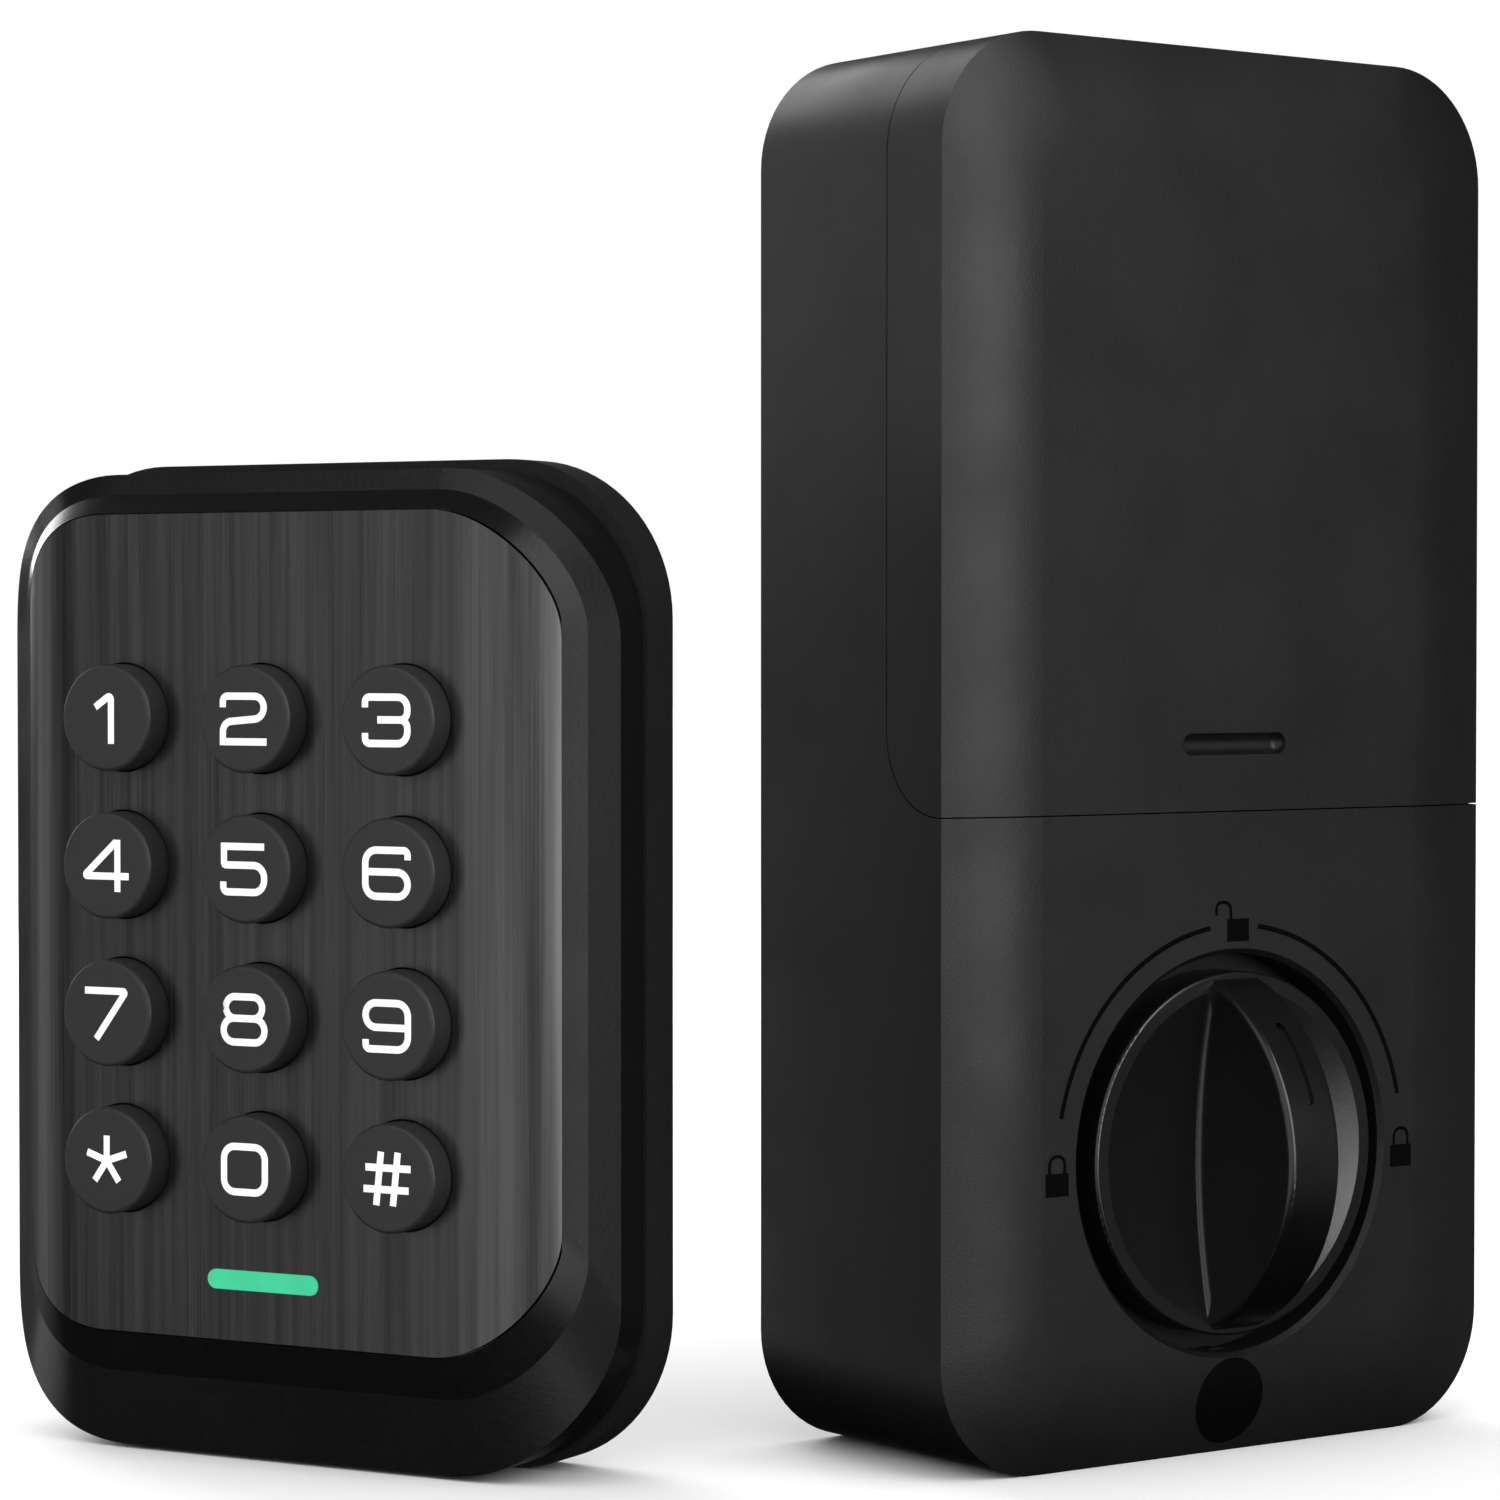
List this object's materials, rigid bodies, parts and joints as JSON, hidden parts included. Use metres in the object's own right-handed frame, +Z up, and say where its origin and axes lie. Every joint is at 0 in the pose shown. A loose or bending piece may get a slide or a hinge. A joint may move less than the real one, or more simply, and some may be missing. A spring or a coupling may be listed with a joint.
{
  "type": "keypad smart lock",
  "caption": "Deadbolt keypad with round push buttons and a status light, beside its inside unit with thumb turn, gear motor and sliding battery cover.",
  "frame": {"origin": "bottom centre of the box round both units, which stand side by side on their lower edges", "axes": "+Z up; -Y towards the viewer of both fronts; +X from the keypad to the inside unit. The keypad is turned 28.36 degrees clockwise and the inside unit 35.64 degrees anticlockwise about +Z, seen from above"},
  "size_m": [0.1672, 0.0754, 0.155],
  "materials": {
    "satin_black": "satin black paint on cast zinc",
    "brushed_gunmetal": "dark anodised, brushed vertically",
    "green_light": "frosted light guide",
    "key_black": null,
    "silicone": "matte",
    "circuit_board": "solder mask",
    "spring_steel": "nickel plated",
    "black_plastic": "matte",
    "white_plastic": "matte",
    "steel": "zinc plated",
    "cast_zinc": "die cast zinc alloy",
    "black_rubber": "matte",
    "textured_black": "fine spark texture",
    "satin_black_plastic": "satin",
    "gear_plastic": "natural acetal",
    "brass": "machined",
    "cell_wrap": "plain printed sleeve"
  },
  "bodies": {
    "lock": {"keypad_housing": "satin_black", "keypad_face_plate": "brushed_gunmetal", "keypad_status_light": "green_light", "keypad_membrane": "silicone", "keypad_circuit_board": "circuit_board", "keypad_dome_switches": "spring_steel", "keypad_buzzer": "black_plastic", "keypad_connector": "white_plastic", "keypad_board_screws": "steel", "keypad_back_plate": "cast_zinc", "keypad_gasket": "black_rubber", "keypad_mounting_posts": "steel", "keypad_cable_grommet": "black_rubber", "keypad_back_plate_screws": "steel", "interior_housing": "textured_black", "battery_tray": "black_plastic", "battery_1": "cell_wrap", "battery_2": "cell_wrap", "battery_3": "cell_wrap", "battery_4": "cell_wrap", "battery_springs": "spring_steel", "battery_contacts": "spring_steel", "main_circuit_board": "circuit_board", "main_board_screws": "steel", "cable_socket": "white_plastic", "gear_motor": "steel", "motor_bracket": "steel", "bracket_screws": "steel", "idler_axle": "steel", "knob_bushing": "gear_plastic", "position_switch": "black_plastic", "mounting_plate": "steel", "mounting_pad": "black_rubber", "lower_housing_screw": "steel", "upper_housing_screw": "steel", "screw_cover_plug": "black_plastic"},
    "battery_door": {"battery_cover": "textured_black"},
    "thumb_turn": {"thumb_turn_knob": "satin_black_plastic", "knob_spindle": "steel", "output_gear": "gear_plastic", "retaining_ring": "spring_steel", "tailpiece_hub": "steel"},
    "idler": {"idler_gear": "gear_plastic"},
    "pinion": {"motor_pinion": "brass"},
    "button_1": {"key_1": "key_black"},
    "button_2": {"key_2": "key_black"},
    "button_3": {"key_3": "key_black"},
    "button_4": {"key_4": "key_black"},
    "button_5": {"key_5": "key_black"},
    "button_6": {"key_6": "key_black"},
    "button_7": {"key_7": "key_black"},
    "button_8": {"key_8": "key_black"},
    "button_9": {"key_9": "key_black"},
    "button_star": {"key_star": "key_black"},
    "button_0": {"key_0": "key_black"},
    "button_hash": {"key_hash": "key_black"}
  },
  "joints": [
    {"name": "battery_cover_slide", "type": "slide", "parent": "lock", "child": "battery_door", "axis": [0, 0, 1], "range_m": [0, 0.09]},
    {"name": "thumb_turn_turn", "type": "hinge", "parent": "lock", "child": "thumb_turn", "pos_m": [0.05177, -0.01159, 0.0333], "axis": [-0.5827, 0.8127, 0], "range_deg": [-90, 90]},
    {"name": "idler_turn", "type": "hinge", "parent": "lock", "child": "idler", "pos_m": [0.05803, 0.00151, 0.05365], "axis": [-0.5827, 0.8127, 0], "range_deg": [-135, 135]},
    {"name": "pinion_turn", "type": "hinge", "parent": "lock", "child": "pinion", "pos_m": [0.06903, 0.0094, 0.05858], "axis": [-0.5827, 0.8127, 0], "range_deg": [-270, 270]},
    {"name": "key_1_press", "type": "slide", "parent": "lock", "child": "button_1", "axis": [0.475, 0.88, 0], "range_m": [0, 0.0015], "stiffness_N_per_m": 800, "springref_m": -0.0012},
    {"name": "key_2_press", "type": "slide", "parent": "lock", "child": "button_2", "axis": [0.475, 0.88, 0], "range_m": [0, 0.0015], "stiffness_N_per_m": 800, "springref_m": -0.0012},
    {"name": "key_3_press", "type": "slide", "parent": "lock", "child": "button_3", "axis": [0.475, 0.88, 0], "range_m": [0, 0.0015], "stiffness_N_per_m": 800, "springref_m": -0.0012},
    {"name": "key_4_press", "type": "slide", "parent": "lock", "child": "button_4", "axis": [0.475, 0.88, 0], "range_m": [0, 0.0015], "stiffness_N_per_m": 800, "springref_m": -0.0012},
    {"name": "key_5_press", "type": "slide", "parent": "lock", "child": "button_5", "axis": [0.475, 0.88, 0], "range_m": [0, 0.0015], "stiffness_N_per_m": 800, "springref_m": -0.0012},
    {"name": "key_6_press", "type": "slide", "parent": "lock", "child": "button_6", "axis": [0.475, 0.88, 0], "range_m": [0, 0.0015], "stiffness_N_per_m": 800, "springref_m": -0.0012},
    {"name": "key_7_press", "type": "slide", "parent": "lock", "child": "button_7", "axis": [0.475, 0.88, 0], "range_m": [0, 0.0015], "stiffness_N_per_m": 800, "springref_m": -0.0012},
    {"name": "key_8_press", "type": "slide", "parent": "lock", "child": "button_8", "axis": [0.475, 0.88, 0], "range_m": [0, 0.0015], "stiffness_N_per_m": 800, "springref_m": -0.0012},
    {"name": "key_9_press", "type": "slide", "parent": "lock", "child": "button_9", "axis": [0.475, 0.88, 0], "range_m": [0, 0.0015], "stiffness_N_per_m": 800, "springref_m": -0.0012},
    {"name": "key_star_press", "type": "slide", "parent": "lock", "child": "button_star", "axis": [0.475, 0.88, 0], "range_m": [0, 0.0015], "stiffness_N_per_m": 800, "springref_m": -0.0012},
    {"name": "key_0_press", "type": "slide", "parent": "lock", "child": "button_0", "axis": [0.475, 0.88, 0], "range_m": [0, 0.0015], "stiffness_N_per_m": 800, "springref_m": -0.0012},
    {"name": "key_hash_press", "type": "slide", "parent": "lock", "child": "button_hash", "axis": [0.475, 0.88, 0], "range_m": [0, 0.0015], "stiffness_N_per_m": 800, "springref_m": -0.0012}
  ],
  "couplings": [
    {"joint": "idler_turn", "follows": "thumb_turn_turn", "ratio": -1.5},
    {"joint": "pinion_turn", "follows": "thumb_turn_turn", "ratio": 3}
  ]
}
